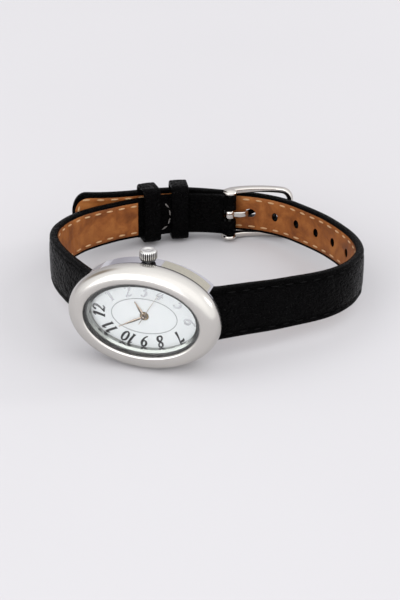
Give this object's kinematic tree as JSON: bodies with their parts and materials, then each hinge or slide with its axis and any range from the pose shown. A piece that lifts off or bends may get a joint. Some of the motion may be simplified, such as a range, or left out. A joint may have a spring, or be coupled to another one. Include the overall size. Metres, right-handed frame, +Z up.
{
  "type": "wristwatch",
  "caption": "Oval wristwatch standing on its side with its leather strap buckled into a loop, fluted crown up, white dial with metal numerals and three hands.",
  "frame": {"origin": "middle of the bounding box, on the surface that the watch stands on", "axes": "+X from twelve o'clock to six o'clock, +Y from the dial into the strap loop, +Z up, the way the crown points, with the loop leaning back 5 degrees onto its buckle"},
  "size_m": [0.0684, 0.0644, 0.0243],
  "materials": {
    "steel_polished": "polished stainless steel",
    "steel_brushed": "fine brushed stainless steel",
    "crystal_glass": "clear mineral glass",
    "seal_black": "soft black seal",
    "flange_grey": "polished grey metal",
    "dial_white": "satin silvery white",
    "dial_print": "thin grey print",
    "numeral_metal": "polished metal",
    "hand_metal": "polished pale rose gold colour",
    "holder_plastic": "moulded plastic",
    "movement_nickel": "nickel plated brass",
    "magnet": "sintered magnet",
    "wheel_brass": "brass",
    "stator_metal": "soft magnetic alloy",
    "coil_copper": "enamelled copper wire",
    "board_green": "circuit board",
    "leather_black": "black leather with a fine creased grain",
    "leather_tan": "tan lining leather",
    "core_felt": "stiff filler"
  },
  "bodies": {
    "watch": {"case_body": "steel_brushed", "bezel": "steel_polished", "crystal": "crystal_glass", "crystal_gasket": "seal_black", "dial_flange": "flange_grey", "dial_plate": "dial_white", "dial_oval_line": "dial_print", "hour_numerals": "numeral_metal", "case_back": "steel_polished", "case_back_gasket": "seal_black", "movement_holder": "holder_plastic", "main_plate": "movement_nickel", "train_bridge": "movement_nickel", "bridge_screw_left": "steel_polished", "bridge_screw_right": "steel_polished", "coil_core": "stator_metal", "coil_winding": "coil_copper", "stator": "stator_metal", "circuit_board": "board_green", "quartz_can": "steel_polished", "battery": "steel_polished", "battery_strap": "wheel_brass", "crown_tube": "steel_polished", "spring_bar_12": "steel_brushed", "spring_bar_6": "steel_brushed", "buckle_bar": "steel_polished", "keeper_fixed": "leather_black", "strap_12_leather": "leather_black", "strap_12_core": "core_felt", "strap_12_lining": "leather_tan", "strap_12_fold": "leather_black", "strap_6_leather": "leather_black", "strap_6_core": "core_felt", "strap_6_lining": "leather_tan"},
    "seconds": {"seconds_hand": "hand_metal", "seconds_wheel": "wheel_brass"},
    "minutes": {"minute_hand": "hand_metal", "centre_wheel": "wheel_brass"},
    "hours": {"hour_hand": "hand_metal", "hour_wheel": "wheel_brass"},
    "third": {"third_wheel": "wheel_brass"},
    "fifth": {"fifth_wheel": "wheel_brass"},
    "rotor": {"rotor": "magnet"},
    "motion_work": {"minute_wheel": "wheel_brass"},
    "setting": {"setting_lever": "movement_nickel"},
    "crown": {"crown": "steel_polished", "setting_stem": "steel_polished", "clutch_pinion": "movement_nickel", "crown_gasket": "seal_black"},
    "free_keeper": {"keeper_free": "leather_black"},
    "buckle": {"buckle_frame": "steel_polished"},
    "prong": {"buckle_prong": "steel_polished"},
    "bar_tip_12": {"spring_bar_12_tip": "steel_brushed"},
    "bar_tip_6": {"spring_bar_6_tip": "steel_brushed"}
  },
  "joints": [
    {"name": "seconds_turn", "type": "hinge", "parent": "watch", "child": "seconds", "pos_m": [-0.0034, -0.02777, 0.01111], "axis": [0, -0.9963, 0.0863], "continuous": true},
    {"name": "minutes_turn", "type": "hinge", "parent": "watch", "child": "minutes", "pos_m": [-0.0034, -0.02777, 0.01111], "axis": [0, -0.9963, 0.0863], "continuous": true},
    {"name": "hours_turn", "type": "hinge", "parent": "watch", "child": "hours", "pos_m": [-0.0034, -0.02777, 0.01111], "axis": [0, -0.9963, 0.0863], "continuous": true},
    {"name": "third_turn", "type": "hinge", "parent": "watch", "child": "third", "pos_m": [-0.0054, -0.02797, 0.00881], "axis": [0, -0.9963, 0.0863], "continuous": true},
    {"name": "fifth_turn", "type": "hinge", "parent": "watch", "child": "fifth", "pos_m": [-0.00154, -0.028, 0.00846], "axis": [0, -0.9963, 0.0863], "continuous": true},
    {"name": "rotor_turn", "type": "hinge", "parent": "watch", "child": "rotor", "pos_m": [0.00032, -0.02803, 0.00814], "axis": [0, -0.9963, 0.0863], "continuous": true},
    {"name": "motion_work_turn", "type": "hinge", "parent": "watch", "child": "motion_work", "pos_m": [-0.0034, -0.02756, 0.0135], "axis": [0, -0.9963, 0.0863], "continuous": true},
    {"name": "crown_pull", "type": "slide", "parent": "watch", "child": "setting", "axis": [0, 0.0863, 0.9963], "range_m": [0, 0.0007]},
    {"name": "crown_turn", "type": "hinge", "parent": "setting", "child": "crown", "pos_m": [-0.0034, -0.02502, 0.02201], "axis": [0, 0.0863, 0.9963], "continuous": true},
    {"name": "keeper_slide", "type": "slide", "parent": "watch", "child": "free_keeper", "axis": [0.803, 0.5938, -0.0514], "range_m": [0, 0.001]},
    {"name": "buckle_hinge", "type": "hinge", "parent": "watch", "child": "buckle", "pos_m": [-0.00081, 0.02582, 0.00647], "axis": [0, -0.0863, -0.9963], "range_deg": [0, 5]},
    {"name": "prong_hinge", "type": "hinge", "parent": "watch", "child": "prong", "pos_m": [-0.00081, 0.02582, 0.00647], "axis": [0, 0.0863, 0.9963], "range_deg": [0, 1]},
    {"name": "bar_tip_12_slide", "type": "slide", "parent": "watch", "child": "bar_tip_12", "axis": [0, -0.0863, -0.9963], "range_m": [0, 0.00085], "stiffness_N_per_m": 300},
    {"name": "bar_tip_6_slide", "type": "slide", "parent": "watch", "child": "bar_tip_6", "axis": [0, -0.0863, -0.9963], "range_m": [0, 0.00085], "stiffness_N_per_m": 300}
  ],
  "couplings": [
    {"joint": "minutes_turn", "follows": "seconds_turn", "ratio": 0.016667},
    {"joint": "hours_turn", "follows": "seconds_turn", "ratio": 0.0013889},
    {"joint": "third_turn", "follows": "seconds_turn", "ratio": -0.13333},
    {"joint": "fifth_turn", "follows": "seconds_turn", "ratio": -5},
    {"joint": "rotor_turn", "follows": "seconds_turn", "ratio": 30},
    {"joint": "motion_work_turn", "follows": "seconds_turn", "ratio": -0.0055556}
  ]
}
